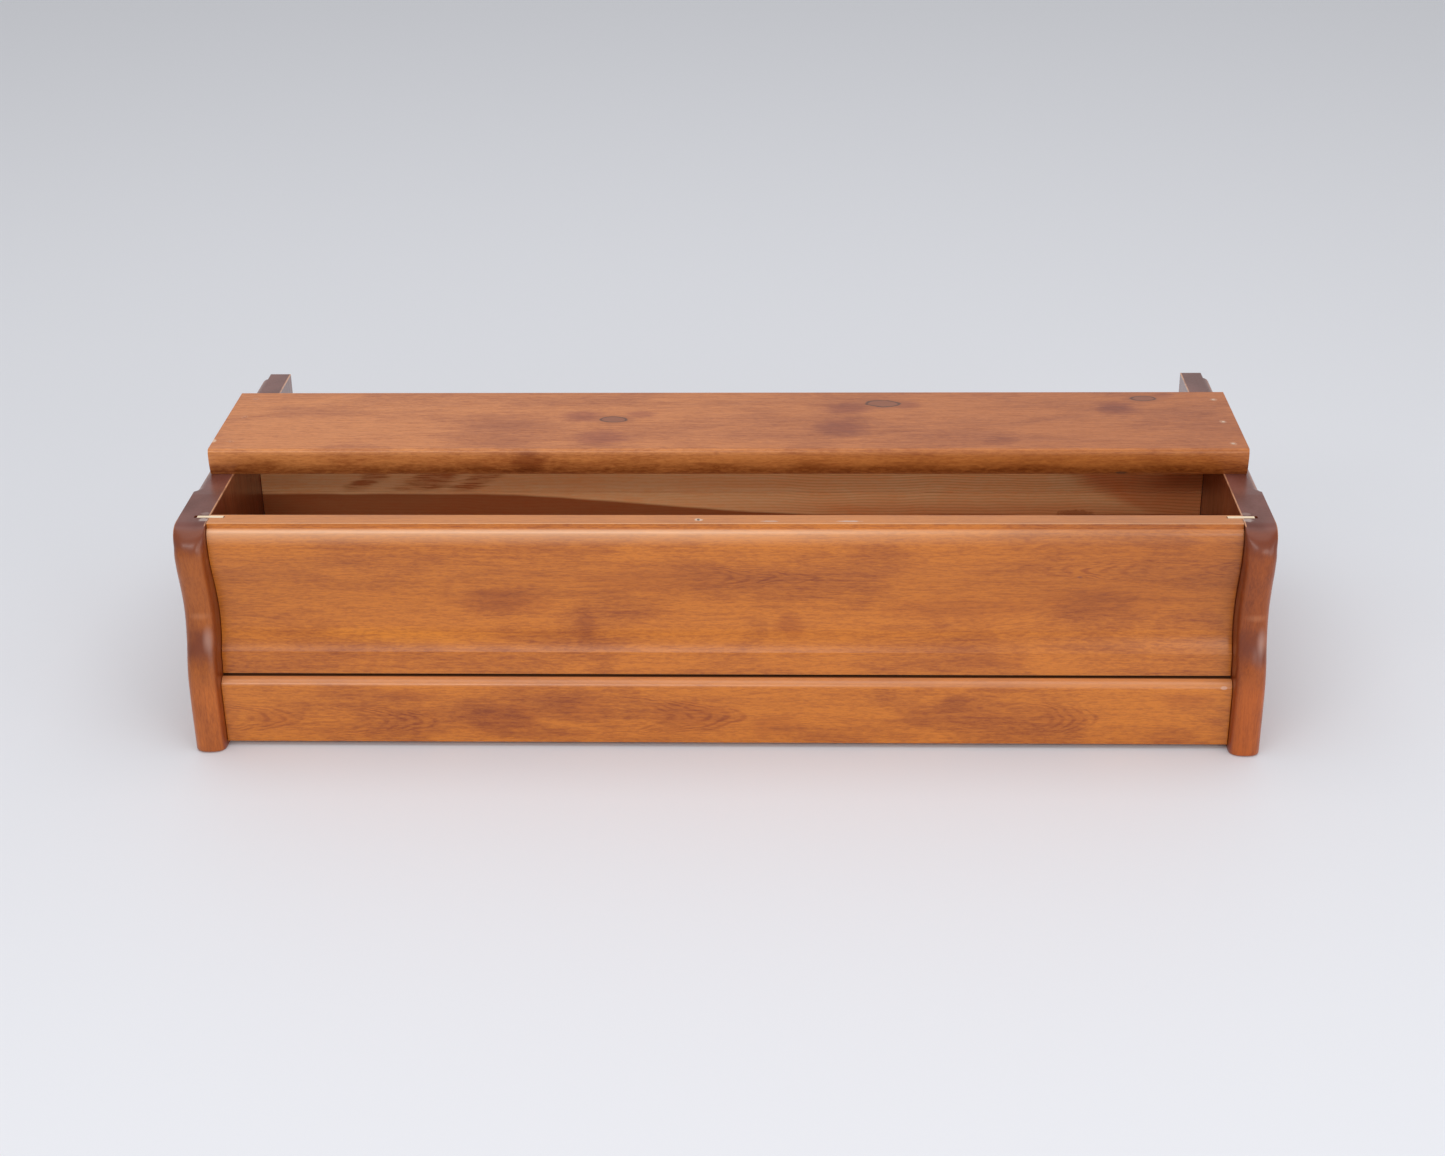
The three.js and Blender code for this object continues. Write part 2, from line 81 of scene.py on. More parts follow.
class Nodes:
    """Short calls that add nodes to one material and return their output sockets."""

    def __init__(self, name):
        self.material = bpy.data.materials.new(name)
        self.material.use_nodes = True
        self.tree = self.material.node_tree
        self.tree.nodes.clear()
        output = self.tree.nodes.new("ShaderNodeOutputMaterial")
        self.shader = self.tree.nodes.new("ShaderNodeBsdfPrincipled")
        self.tree.links.new(self.shader.outputs[0], output.inputs["Surface"])
        self.place = self.tree.nodes.new("ShaderNodeTexCoord").outputs["Object"]
        self.x, self.y, self.z = self.add("SeparateXYZ", self.place).outputs

    def put(self, value, socket):
        """Links the socket to another node's output, or sets it; None leaves it as it is."""
        if isinstance(value, bpy.types.NodeSocket):
            self.tree.links.new(value, socket)
        elif value is not None:
            if hasattr(socket.default_value, "__len__") and len(socket.default_value) == 4:
                value = (*value, 1.0) if len(value) == 3 else value
            socket.default_value = value

    def add(self, kind, *values, **settings):
        """A shader node with its first inputs and its settings filled in."""
        node = self.tree.nodes.new("ShaderNode" + kind)
        for key, value in settings.items():
            setattr(node, key, value)
        for value, socket in zip(values, node.inputs):
            self.put(value, socket)
        return node

    def math(self, operation, a, b=None, c=None, clamp=False):
        return self.add("Math", a, b, c, operation=operation, use_clamp=clamp).outputs[0]

    def vector(self, operation, a, b=None):
        node = self.add("VectorMath", a, b, operation=operation)
        return node.outputs["Value" if operation == "LENGTH" else "Vector"]

    def stretched(self, scale, offset=(0, 0, 0), place=None):
        """The place, or else the surface point, times scale, plus offset."""
        moved = self.vector("MULTIPLY", place or self.place, scale)
        return self.vector("ADD", moved, offset)

    def noise(self, place, detail=3.0, roughness=0.5, distortion=0.0, colour=False):
        """One feature per unit of place: a number around 0.5, or a colour of three of them."""
        node = self.add("TexNoise")
        self.put(place, node.inputs["Vector"])
        node.inputs["Scale"].default_value = 1.0
        node.inputs["Detail"].default_value = detail
        node.inputs["Roughness"].default_value = roughness
        node.inputs["Distortion"].default_value = distortion
        return node.outputs["Color"] if colour else node.outputs[0]

    def range(self, value, low, high, to_low=0.0, to_high=1.0, smooth=True):
        """Value taken from low..high to to_low..to_high, held at the ends."""
        node = self.add("MapRange", value, low, high, to_low, to_high)
        node.interpolation_type = "SMOOTHSTEP" if smooth else "LINEAR"
        node.clamp = True
        return node.outputs[0]

    def mix(self, factor, a, b, blend="MIX"):
        """Colour a where factor is 0, and b, or the blend of a with b, where it is 1."""
        node = self.tree.nodes.new("ShaderNodeMix")
        node.data_type = "RGBA"
        node.blend_type = blend
        self.put(factor, node.inputs[MIX_FACTOR])
        self.put(a, node.inputs[MIX_A])
        self.put(b, node.inputs[MIX_B])
        return node.outputs[MIX_RESULT]

    def tinted(self, mask, colour, tint):
        """The colour, multiplied by tint where mask is 1."""
        return self.mix(mask, colour, self.mix(1.0, colour, tint, "MULTIPLY"))

    def product(self, first, *others):
        for other in others:
            first = self.math("MULTIPLY", first, other)
        return first

    def swayed(self, value, noise, reach):
        """The value, moved by the noise by up to reach either way."""
        return self.math("ADD", value, self.math("MULTIPLY_ADD", noise, 2 * reach, -reach))

    def normal(self, name):
        """One part of the surface's direction, in the row frame."""
        direction = self.tree.nodes.new("ShaderNodeNewGeometry").outputs["Normal"]
        return self.add("SeparateXYZ", direction).outputs[name]

    def spot(self, centre, size):
        """Distance from centre in an ellipsoid's own units: 0 at the middle and 1 at size."""
        moved = self.vector("SUBTRACT", self.place, centre)
        scaled = self.vector("MULTIPLY", moved, [1.0 / s for s in size])
        return self.vector("LENGTH", scaled)

    def finish(self, colour, roughness, bump, strength, distance, coat=0.0, coat_roughness=0.3):
        """Fills in the shader, with bump as a height of up to distance, and gives the material."""
        self.put(colour, self.shader.inputs["Base Color"])
        self.put(roughness, self.shader.inputs["Roughness"])
        self.shader.inputs["Coat Weight"].default_value = coat
        self.shader.inputs["Coat Roughness"].default_value = coat_roughness
        node = self.tree.nodes.new("ShaderNodeBump")
        node.inputs["Strength"].default_value = strength
        node.inputs["Distance"].default_value = distance
        self.put(bump, node.inputs["Height"])
        self.tree.links.new(node.outputs[0], self.shader.inputs["Normal"])
        return self.material


def grain_scale(axis, along, across):
    """Frequencies per metre: along the grain and across it."""
    return tuple(along if name == axis else across for name in "XYZ")


def point(node, x=0.5, y=0.5, z=0.5):
    """The place at those shares of a node's box: 0 is its low corner and 1 its high corner."""
    low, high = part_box(node)
    return Vector([low[i] + (high[i] - low[i]) * share for i, share in enumerate((x, y, z))])


# ---- marks that several boards share ---------------------------------------------------------

# Tints that multiply a stained board's colour.
REDDER = (0.70, 0.56, 0.46)
FIGURE = (0.60, 0.42, 0.34)
WINE = (0.66, 0.50, 0.52)
DUSKY = (0.52, 0.38, 0.34)

# Painted shade for the dark inside of the narrow gaps between boards.
GAP_SHADE = (0.035, 0.010, 0.003)

# A mark on a front face reaches this far through the board, so that depth doesn't fade it.
MARK_DEPTH = 0.1


def cloud(n, colour, centre, size, tint, strength, ragged=0.75):
    """A soft blotch with a ragged edge that multiplies the colour by tint."""
    rough = n.noise(n.stretched((55, 150, 230), tuple(centre * 9.0)), 6.0, 0.72)
    away = n.swayed(n.spot(centre, size), rough, ragged)
    return n.tinted(n.range(away, 0.3, 1.05, strength, 0.0), colour, tint)


def arches(n, colour, tip, pitch, bend, reach, half, strength, towards=1.0):
    """Flat-sawn figure: nested arches lying along X, with tips towards +X or -X at tip.

    They lie pitch apart, bend back from their tips, and fill reach along X and half up and down.
    """
    wave = n.noise(n.stretched((30, 30, 90), tuple(tip * 5.0)), 3.0)
    dx = n.product(n.math("SUBTRACT", n.x, tip.x), towards)
    dz = n.swayed(n.math("SUBTRACT", n.z, tip.z), wave, 0.005)
    back = n.math("MULTIPLY_ADD", n.product(dz, dz), bend, dx)
    line = n.range(n.math("SINE", n.product(back, 2 * math.pi / pitch)), -0.4, 1.0)
    broken = n.noise(n.stretched((60, 60, 160), tuple(tip * 3.0)), 4.0, 0.65)
    line = n.product(line, n.range(broken, 0.36, 0.60, 0.1, 1.0))
    inside = n.range(back, -reach, -reach * 0.25, 0.0, 1.0)
    inside = n.product(inside, n.range(back, 0.0, pitch, 1.0, 0.0))
    level = n.range(n.math("ABSOLUTE", dz), half * 0.6, half, 1.0, 0.0)
    return n.tinted(n.product(line, inside, level, strength), colour, FIGURE)


def knot(n, colour, centre, radius):
    """A lens-shaped knot in a face that looks up: brown heart and thin dark outline."""
    wobble = n.noise(n.stretched((70, 110, 90), tuple(centre * 7.0)), 3.0)
    away = n.swayed(n.spot(centre, (radius, radius * 0.55, 0.02)), wobble, 0.3)
    colour = n.mix(n.range(away, 0.95, 2.3, 0.6, 0.0), colour, (0.34, 0.085, 0.018))
    colour = n.mix(n.range(away, 0.85, 1.0, 0.9, 0.0), colour, (0.27, 0.080, 0.030))
    outline = n.product(n.range(away, 0.82, 0.95), n.range(away, 1.0, 1.18, 1.0, 0.0), 0.85)
    return n.mix(outline, colour, (0.070, 0.018, 0.006))


def scratch(n, colour, centre, size, tint, strength=0.8):
    """A small crisp mark that replaces the colour."""
    wobble = n.noise(n.stretched((260, 260, 260)), 2.0)
    away = n.swayed(n.spot(centre, size), wobble, 0.45)
    return n.mix(n.range(away, 0.5, 1.0, strength, 0.0), colour, tint)


# Less reflection than the shader's usual 0.5, since wood under the coat is dull.
WOOD_SPECULAR = 0.2


def wood(name, light, dark, axis, seed, features=(), clouds=0.4, flecks=0.27, streaks=0.34,
         roughness=0.36, coat=0.8):
    """Wood whose clouds, long streaks and short flecks run along axis.

    Each of features takes the nodes and the colour, and returns the new colour.
    """
    n = Nodes(name)
    shift = (seed * 3.17, seed * 1.31, seed * 2.23)
    warp = n.noise(n.stretched(grain_scale(axis, 5, 14), shift), 2.0, colour=True)
    bend = n.vector("MULTIPLY", n.vector("SUBTRACT", warp, (0.5, 0.5, 0.5)), (0.02, 0.012, 0.012))
    place = n.vector("ADD", n.place, bend)

    # From broad clouds to the finest pores.
    broad = n.noise(n.stretched(grain_scale(axis, 9, 22), shift, place), 4.0, 0.6, 0.6)
    long = n.noise(n.stretched(grain_scale(axis, 5, 230), shift, place), 4.0, 0.65)
    short = n.noise(n.stretched(grain_scale(axis, 34, 520), shift, place), 3.0, 0.6)
    fine = n.noise(n.stretched(grain_scale(axis, 150, 820), shift, place), 3.0, 0.65)

    # Their weighted sum, a little lowered, is 0 at the light colour and 1 at the dark one.
    tone = n.product(n.range(broad, 0.40, 0.66), clouds)
    tone = n.math("MULTIPLY_ADD", n.range(long, 0.3, 0.7, smooth=False), streaks, tone)
    tone = n.math("MULTIPLY_ADD", n.range(short, 0.38, 0.68), flecks, tone)
    tone = n.math("MULTIPLY_ADD", n.range(fine, 0.40, 0.64), flecks * 1.35, tone)
    colour = n.mix(n.math("SUBTRACT", tone, 0.24, clamp=True), light, dark)
    for feature in features:
        colour = feature(n, colour)
    n.shader.inputs["Specular IOR Level"].default_value = WOOD_SPECULAR
    rough = n.range(short, 0.3, 0.8, roughness - 0.05, roughness + 0.09)
    height = n.math("MULTIPLY_ADD", fine, 0.5, short)
    return n.finish(colour, rough, height, 0.10, 0.0005, coat, 0.25)


# ---- what is particular to each board --------------------------------------------------------


def front_panel_features():
    low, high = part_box("front_panel")
    middle = point("front_panel")

    def at(x, up):
        """A place x right of the middle and up above the lower edge."""
        return Vector((middle.x + x, middle.y, low[2] + up))

    def right_end(n, colour):
        """Painted shade darkens the panel towards the upper right, and a painted shadow of the
        stile darkens the end at its joint.
        """
        # Painted shade, where less light reaches the upper right of the panel.
        deep = n.range(n.x, middle.x + 0.1, middle.x + 0.45, 0.0, 0.8)
        deep = n.product(deep, n.range(n.z, low[2] + 0.03225, low[2] + 0.09225))
        colour = n.tinted(deep, colour, (0.78, 0.70, 0.56))
        # Painted shadow that the right stile casts on the panel's end.
        joint = n.range(n.x, high[0] - 0.0016, high[0] - 0.0003, 0.0, 0.6)
        return n.tinted(joint, colour, (0.5, 0.38, 0.3))

    def figure(n, colour):
        """Three nests of arches, and one dark fleck."""
        colour = arches(n, colour, at(0.078, 0.09425), 0.019, 520.0, 0.13, 0.019, 0.75)
        colour = arches(n, colour, at(0.285, 0.10225), 0.017, 430.0, 0.12, 0.017, 0.75, -1.0)
        colour = arches(n, colour, at(0.405, 0.10425), 0.017, 480.0, 0.10, 0.016, 0.6, -1.0)
        fleck = at(0.3116, 0.09525)
        return scratch(n, colour, fleck, (0.0030, 0.03, 0.0016), (0.25, 0.07, 0.03))

    def blotches(n, colour):
        def blotch(x, up, across, tall, tint=REDDER, strength=0.7):
            return cloud(n, colour, at(x, up), (across, MARK_DEPTH, tall), tint, strength)

        colour = blotch(-0.195, 0.06725, 0.055, 0.018)
        colour = blotch(-0.122, 0.04225, 0.013, 0.022)
        colour = blotch(0.060, 0.04225, 0.016, 0.014)
        colour = blotch(0.205, 0.06025, 0.09, 0.016, strength=0.45)
        colour = blotch(0.33, 0.06725, 0.08, 0.020, strength=0.45)
        colour = blotch(-0.06, 0.09025, 0.10, 0.022, strength=0.4)
        colour = blotch(0.235, 0.01425, 0.05, 0.008, strength=0.5)
        return blotch(-0.30, 0.03225, 0.10, 0.012, (1.10, 1.16, 1.0), 0.9)

    def top_edge(n, colour):
        """Painted light makes the face that looks up paler, and the arris gets a painted highlight;
        then a dent and two scuffs.
        """
        # Painted light: the face that looks up is paler, as if lit from above.
        upward = n.range(n.normal("Z"), 0.75, 0.98)
        colour = n.mix(upward, colour, n.mix(0.4, colour, (0.70, 0.29, 0.10)))
        # Painted highlight on the rounded arris, which faces up and forwards.
        tilted = n.range(n.normal("Z"), 0.3, 0.6)
        arris = n.product(tilted, n.range(n.normal("Z"), 0.75, 0.95, 1.0, 0.0))
        height = n.range(n.z, high[2] - 0.0012, high[2] - 0.0006)
        colour = n.mix(n.product(arris, height), colour, (0.95, 0.60, 0.34))
        dent = point("front_panel", 0.5, 0.3, 1.0) + Vector((-0.0203, 0.006, 0))
        colour = scratch(n, colour, dent, (0.0042, 0.0036, 0.02), (0.80, 0.60, 0.45))
        colour = scratch(n, colour, dent, (0.0016, 0.0030, 0.02), (0.03, 0.012, 0.006))
        short = dent + Vector((0.063, -0.003, 0))
        colour = scratch(n, colour, short, (0.011, 0.0020, 0.02), (0.62, 0.42, 0.32), 0.7)
        long = dent + Vector((0.131, -0.003, 0))
        return scratch(n, colour, long, (0.014, 0.0018, 0.02), (0.66, 0.50, 0.42), 0.7)

    def wear_and_highlight(n, colour):
        """Painted highlight: the bead is painted paler where it catches the light, most of all on
        the left.
        """
        near = n.range(n.z, high[2] - 0.0065, high[2] - 0.0045, 1.0, 0.0)
        # Painted highlight, peaking a few millimetres below the step.
        lit = n.math("POWER", n.range(n.z, high[2] - 0.021, high[2] - 0.007, smooth=False), 1.6)
        left = n.range(n.x, middle.x - 0.1, middle.x + 0.42, 0.55, 0.12)
        return n.mix(n.product(near, lit, left), colour, (0.98, 0.60, 0.36))

    def gap_shade(n, colour):
        """Painted shade: the lower edge goes dark where it meets the gap above the lower board."""
        near = n.range(n.z, low[2] + 0.0003, low[2] + 0.0009, 0.92, 0.0)
        return n.mix(near, colour, GAP_SHADE)

    return right_end, figure, blotches, top_edge, wear_and_highlight, gap_shade


def lower_board_features():
    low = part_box("lower_front_board")[0]
    middle = point("lower_front_board")

    def at(x, up):
        """A place x right of the middle and up above the lower edge."""
        return Vector((middle.x + x, low[1], low[2] + up))

    def blotches(n, colour):
        def blotch(x, up, across, tall, strength=0.5):
            return cloud(n, colour, at(x, up), (across, MARK_DEPTH, tall), REDDER, strength)

        colour = blotch(-0.200, 0.02525, 0.048, 0.026, 0.75)
        colour = blotch(-0.130, 0.03525, 0.045, 0.020, 0.6)
        colour = blotch(-0.030, 0.02825, 0.050, 0.024, 0.65)
        colour = blotch(-0.285, 0.04725, 0.035, 0.008, 0.6)
        colour = blotch(-0.405, 0.02325, 0.030, 0.012)
        colour = blotch(0.045, 0.01725, 0.030, 0.014)
        colour = blotch(0.300, 0.02525, 0.030, 0.016)
        colour = blotch(0.205, 0.04025, 0.020, 0.012, 0.45)
        return blotch(0.41, 0.04525, 0.030, 0.010)

    def figure(n, colour):
        """Four nests of arches, and a chip near the right end."""
        colour = arches(n, colour, at(-0.385, 0.02325), 0.015, 240.0, 0.07, 0.020, 0.7)
        colour = arches(n, colour, at(-0.262, 0.02125), 0.015, 260.0, 0.09, 0.021, 0.8)
        colour = arches(n, colour, at(0.015, 0.02725), 0.016, 220.0, 0.10, 0.024, 0.7)
        colour = arches(n, colour, at(0.330, 0.02625), 0.010, 150.0, 0.06, 0.018, 0.75)
        chip = at(0.4426, 0.05705)
        return scratch(n, colour, chip, (0.0036, MARK_DEPTH, 0.0018), (0.70, 0.50, 0.42), 0.5)

    def top_edge(n, colour):
        """The round gets a painted highlight, and its back gets painted shade where it meets the
        gap under the panel.
        """
        # Painted highlight on the round, where it faces up to the light.
        upward = n.range(n.normal("Z"), 0.15, 0.75, 0.0, 0.5)
        colour = n.mix(upward, colour, (0.74, 0.33, 0.15))
        # Painted shade in the gap under the front panel.
        joint = n.range(n.y, low[1] + 0.0078, low[1] + 0.0090, 0.0, 0.95)
        return n.mix(n.product(joint, n.range(n.normal("Z"), 0.90, 0.99)), colour, GAP_SHADE)

    return blotches, figure, top_edge


def top_board_features():
    low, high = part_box("top_board")
    middle = point("top_board")

    def at(x, ahead):
        """A place in the top face, x right of the middle and ahead of the back edge."""
        return Vector((middle.x + x, high[1] - ahead, high[2]))

    first_knot = at(-0.1054, 0.06915)
    second_knot = at(0.1461, 0.02915)
    third_knot = at(0.3923, 0.01695)

    def right_end(n, colour):
        """The stain deepens a little towards the right."""
        deep = n.range(n.x, middle.x - 0.35, middle.x + 0.40)
        pale = n.mix(1.0, colour, (1.08, 1.1, 1.15), "MULTIPLY")
        return n.mix(deep, pale, n.mix(1.0, colour, (0.86, 0.76, 0.62), "MULTIPLY"))

    def blotches(n, colour):
        def wing(knot_place, x, y, across, deep, strength=0.95):
            centre = knot_place + Vector((x, y, 0))
            return cloud(n, colour, centre, (across, deep, 0.05), WINE, strength, 0.5)

        def blotch(x, ahead, across, deep, strength):
            return cloud(n, colour, at(x, ahead), (across, deep, 0.05), REDDER, strength)

        colour = wing(first_knot, -0.030, 0.008, 0.027, 0.019)
        colour = wing(first_knot, -0.008, -0.045, 0.034, 0.026)
        colour = wing(first_knot, 0.024, 0.013, 0.018, 0.012, 0.8)
        colour = wing(second_knot, -0.034, -0.012, 0.030, 0.021)
        colour = wing(second_knot, -0.040, -0.060, 0.034, 0.027)
        colour = wing(second_knot, 0.023, -0.004, 0.017, 0.014, 0.8)
        colour = wing(third_knot, -0.028, -0.026, 0.026, 0.024)
        colour = wing(third_knot, 0.020, 0.008, 0.014, 0.010, 0.7)
        colour = blotch(-0.205, 0.08035, 0.05, 0.04, 0.5)
        colour = blotch(-0.205, 0.12535, 0.035, 0.014, 0.5)
        colour = blotch(0.100, 0.08035, 0.045, 0.05, 0.4)
        colour = blotch(0.250, 0.12235, 0.02, 0.014, 0.7)
        return blotch(0.45, 0.09035, 0.04, 0.05, 0.4)

    def knots(n, colour):
        colour = knot(n, colour, first_knot, 0.0125)
        colour = knot(n, colour, second_knot, 0.0150)
        return knot(n, colour, third_knot, 0.0110)

    def nose(n, colour):
        """Painted shade darkens the speckled front edge unevenly towards the underside, and the
        front face is painted lighter.
        """
        ragged = n.noise(n.stretched((38, 90, 120)), 4.0, 0.65)
        # Painted shade towards the underside, which faces down, away from the light.
        down = n.range(n.swayed(n.z, ragged, 0.008), low[2] + 0.001, low[2] + 0.017, 1.0, 0.0)
        front = n.range(n.y, low[1] + 0.0005, low[1] + 0.0060, 1.0, 0.0)
        specks = n.noise(n.stretched((150, 300, 420)), 3.0, 0.6)
        shade = n.product(front, down, n.range(specks, 0.35, 0.62, 0.6, 1.0))
        colour = n.tinted(shade, colour, (0.34, 0.21, 0.11))
        # Painted light lifts the front face, which gets little light from above.
        return n.tinted(front, colour, (1.02, 1.12, 1.25))

    def nose_marks(n, colour):
        """A dark patch, and a crack at the lower edge."""
        patch = Vector((middle.x - 0.177, low[1], high[2] - 0.012))
        colour = cloud(n, colour, patch, (0.024, 0.02, 0.013), DUSKY, 0.8)
        crack = Vector((middle.x + 0.358, low[1], low[2] + 0.0015))
        return scratch(n, colour, crack, (0.007, 0.01, 0.0018), (0.08, 0.035, 0.02), 0.7)

    def wear_and_highlight(n, colour):
        """A chip in the left edge, and filler smeared around the nails, less on the left."""
        chip = Vector((low[0], low[1] + 0.022, high[2]))
        colour = scratch(n, colour, chip, (0.004, 0.006, 0.003), (0.80, 0.55, 0.38), 0.8)
        size = (0.0042, 0.0042, 0.004)
        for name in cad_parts:
            if name.startswith("top_board_nail"):
                head = point(name, 0.5, 0.5, 1.0)
                strength = 0.2 if "left" in name else 0.5
                colour = scratch(n, colour, head, size, (0.66, 0.36, 0.22), strength)
        return colour

    return right_end, blotches, knots, nose, nose_marks, wear_and_highlight


def flat_top(n, colour):
    """End grain that faces up: dark purple-brown with clouds of painted grey sheen."""
    flat = n.range(n.normal("Z"), 0.80, 0.98)
    grey = n.range(n.noise(n.stretched((25, 18, 25)), 3.0), 0.35, 0.65)
    # Painted sheen in grey clouds over the dark end grain.
    return n.mix(flat, colour, n.mix(grey, (0.130, 0.036, 0.024), (0.195, 0.066, 0.050)))


def worn_arris(n, colour):
    """The inner top edge is rubbed through to pale wood."""
    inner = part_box("right_side_panel")[0][0]
    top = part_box("right_side_panel")[1][2]
    near = n.range(n.math("ABSOLUTE", n.x), inner + 0.0006, inner + 0.0014, 1.0, 0.0)
    high = n.range(n.z, top - 0.0016, top - 0.0008)
    rubbed = n.range(n.noise(n.stretched((70, 70, 70)), 2.0), 0.3, 0.5, 0.4, 1.0)
    return n.mix(n.product(near, high, rubbed), colour, (0.62, 0.30, 0.16))


def side_features():
    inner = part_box("right_side_panel")[0][0]

    def inside(n, colour):
        """Painted shade: the face that looks into the well and the rear bay is darker."""
        near = n.range(n.math("ABSOLUTE", n.x), inner + 0.0003, inner + 0.0009, 1.0, 0.0)
        return n.tinted(near, colour, (0.62, 0.52, 1.0))

    return inside, flat_top, worn_arris


def stile_features():
    low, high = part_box("right_front_stile")
    panel_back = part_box("front_panel")[1][1]

    def inside(n, colour):
        """Painted shade: the inner face is darker behind the front panel, and on the cheek in front
        of it.
        """
        away = n.math("ABSOLUTE", n.x)
        behind = n.range(n.y, panel_back, panel_back + 0.001)
        ahead = n.math("SUBTRACT", 1.0, behind)
        well = n.product(behind, n.range(away, low[0] + 0.0003, low[0] + 0.0009, 1.0, 0.0))
        colour = n.tinted(well, colour, (0.62, 0.42, 0.9))
        # Painted shade on the cheek, the strip of inner face in front of the panel.
        cheek = n.product(n.range(away, low[0] + 0.0003, low[0] + 0.0032, 0.85, 0.0), ahead)
        return n.tinted(cheek, colour, (0.50, 0.32, 0.34))

    def stain(n, colour):
        """End grain drinks the stain on the crown and on the bulge; the foot stays lighter.

        The right stile is darker than the left one.
        """
        colour = n.tinted(n.range(n.x, -0.1, 0.1), colour, (0.88, 0.74, 0.60))
        patch = n.noise(n.stretched((70, 70, 50)), 3.0)
        z = n.swayed(n.z, patch, 0.008)
        foot = n.range(z, low[2] + 0.055, low[2] + 0.080, 1.0, 0.0)
        colour = n.tinted(foot, colour, (1.3, 1.3, 1.3))
        crown = n.range(z, high[2] - 0.030, high[2] - 0.011)
        slope = n.swayed(n.normal("Z"), patch, 0.15)
        bulge = n.product(
            n.range(slope, 0.05, 0.34),
            n.range(z, low[2] + 0.080, low[2] + 0.102),
            n.range(z, low[2] + 0.114, low[2] + 0.128, 1.0, 0.0),
        )
        dark = n.product(n.math("MAXIMUM", crown, bulge), 0.85)
        return n.mix(dark, colour, (0.160, 0.034, 0.014))

    def sheen(n, colour):
        """A painted whitish highlight on the bulge's right third, and a paler streak above the
        bulge.
        """
        for name in ("left_front_stile", "right_front_stile"):
            front = point(name, 0.5, 0.0, 0.5)
            highlight_spot = n.spot(front + Vector((0.0075, 0.0, 0.002)), (0.0065, 0.035, 0.017))
            # Painted highlight, as from a window to the right.
            colour = n.mix(n.range(highlight_spot, 0.15, 1.0, 0.38, 0.0), colour, (0.72, 0.45, 0.36))
            streak = n.spot(front + Vector((0.002, 0.0, 0.023)), (0.016, 0.035, 0.0055))
            colour = n.mix(n.range(streak, 0.1, 1.0, 0.35, 0.0), colour, (0.66, 0.28, 0.13))
        return colour

    def outer_arris(n, colour):
        """The outer face of the nose is lighter over its front 35 to 45 mm."""
        line = n.range(n.math("ABSOLUTE", n.x), high[0] - 0.0011, high[0] - 0.0004, 0.0, 0.6)
        front = n.range(n.y, low[1] + 0.035, low[1] + 0.045, 1.0, 0.0)
        return n.mix(n.product(line, front), colour, (0.50, 0.20, 0.09))

    def glue_and_highlight(n, colour):
        """A whitish glue smear in front of each biscuit that shows, and a painted greyish highlight
        behind it.
        """
        for side, word in ((-1, "left"), (1, "right")):
            biscuit = point(f"front_panel_top_biscuit_{word}", 0.5, 0.0, 1.0)
            joint = Vector((side * low[0], biscuit.y, biscuit.z))
            ahead = joint + Vector((side * 0.0035, -0.0045, 0))
            behind = joint + Vector((side * 0.0045, 0.0085, 0))
            colour = scratch(n, colour, ahead, (0.0060, 0.0042, 0.006), (0.50, 0.40, 0.36), 0.7)
            # Painted greyish highlight on the stile's top, behind the biscuit.
            colour = scratch(n, colour, behind, (0.0050, 0.0040, 0.006), (0.38, 0.28, 0.25), 0.4)
        return colour

    return inside, stain, sheen, flat_top, worn_arris, outer_arris, glue_and_highlight


# The distance between two year rings in the rear panel's face.
YEAR_RING = 0.0031


